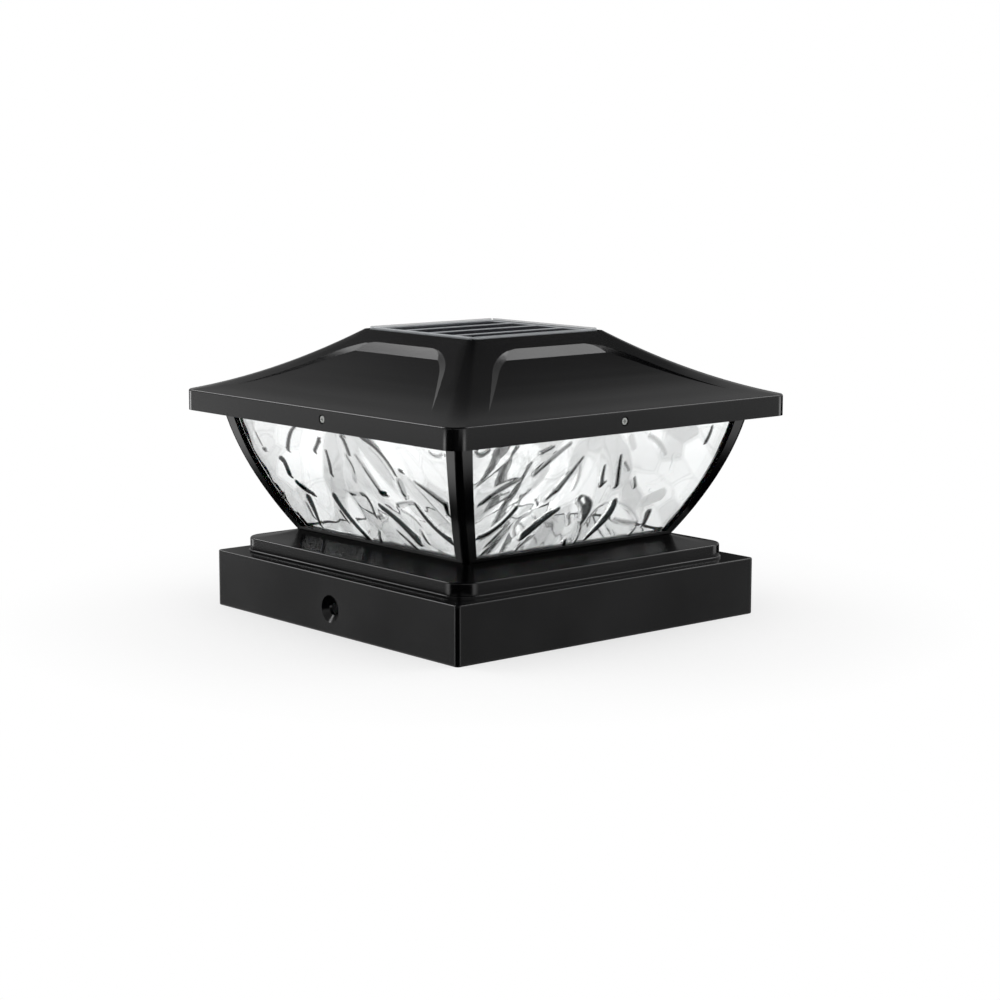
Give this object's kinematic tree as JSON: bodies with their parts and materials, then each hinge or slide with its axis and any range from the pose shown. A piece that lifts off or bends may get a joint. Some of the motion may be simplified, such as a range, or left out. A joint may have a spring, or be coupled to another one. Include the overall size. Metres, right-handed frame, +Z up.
{
  "type": "solar post cap light",
  "caption": "Square solar lantern that caps a timber post: black hipped roof with a top solar panel, rippled clear panes, stepped base, screw-fixed skirt and a push switch under the eaves.",
  "frame": {"origin": "middle of the skirt's bottom edge, on the plane that the skirt stands on", "axes": "+Z up; the four flat sides look along +X, -X, +Y and -Y; the post screw holes are in the -Y (front) and +Y (back) sides, and the push switch is under the -X (left) eave"},
  "size_m": [0.1466, 0.1466, 0.0973],
  "materials": {
    "black_plastic": "satin moulded ABS, slightly glossy",
    "button_rubber": "soft matte silicone",
    "pane_clear": "clear moulded plastic with a rippled leaf pattern inside",
    "foam_black": "closed cell foam",
    "white_plastic": "white moulded plastic",
    "opal_plastic": "opal diffusing plastic",
    "sealant_grey": "cured silicone bead",
    "panel_backing": "black glass-fibre board",
    "solar_cell": "polished dark silicon",
    "silver_paste": "printed silver contact, dull",
    "panel_resin": "clear cast cover",
    "board_green": "solder mask over glass-fibre board",
    "led_phosphor": "white body with yellow phosphor",
    "chip_epoxy": "black epoxy",
    "ferrite": "sintered ferrite",
    "capacitor_sleeve": "dark shrink sleeve",
    "spring_steel": "bright drawn wire",
    "nickel_plate": "nickel plated strip",
    "holder_black": "black moulded plastic",
    "battery_wrap": "plain green shrink wrap over a steel can",
    "wire_red": "red wire insulation",
    "wire_black": "black wire insulation",
    "screw_black": "black oxide steel",
    "screw_zinc": "zinc plated steel"
  },
  "bodies": {
    "lamp": {"post_skirt": "black_plastic", "plinth": "black_plastic", "lantern_frame": "black_plastic", "pane_front": "pane_clear", "pane_right": "pane_clear", "pane_back": "pane_clear", "pane_left": "pane_clear", "pane_gasket": "foam_black", "lantern_floor": "white_plastic", "roof_shell": "black_plastic", "panel_sealant": "sealant_grey", "panel_backing": "panel_backing", "solar_cells": "solar_cell", "solar_busbars": "silver_paste", "panel_cover": "panel_resin", "ceiling_tray": "white_plastic", "diffuser": "opal_plastic", "control_board": "board_green", "led_chips": "led_phosphor", "control_chip": "chip_epoxy", "inductor": "ferrite", "capacitor": "capacitor_sleeve", "switch_case": "chip_epoxy", "switch_dome": "spring_steel", "foam_tape": "foam_black", "battery_holder": "holder_black", "battery_contacts": "nickel_plate", "battery": "battery_wrap", "battery_spring": "spring_steel", "panel_wire_plus": "wire_red", "panel_wire_minus": "wire_black", "battery_wire_plus": "wire_red", "battery_wire_minus": "wire_black", "rim_screws": "screw_black", "soffit_screws": "screw_black", "skirt_screws": "screw_zinc", "board_screws": "screw_zinc"},
    "button": {"button_cap": "button_rubber", "switch_plunger": "chip_epoxy"}
  },
  "joints": [
    {"name": "button_press", "type": "slide", "parent": "lamp", "child": "button", "axis": [0, 0, 1], "range_m": [0, 0.0006], "stiffness_N_per_m": 2500, "springref_m": -0.0003, "deforming": ["switch_dome"]}
  ]
}
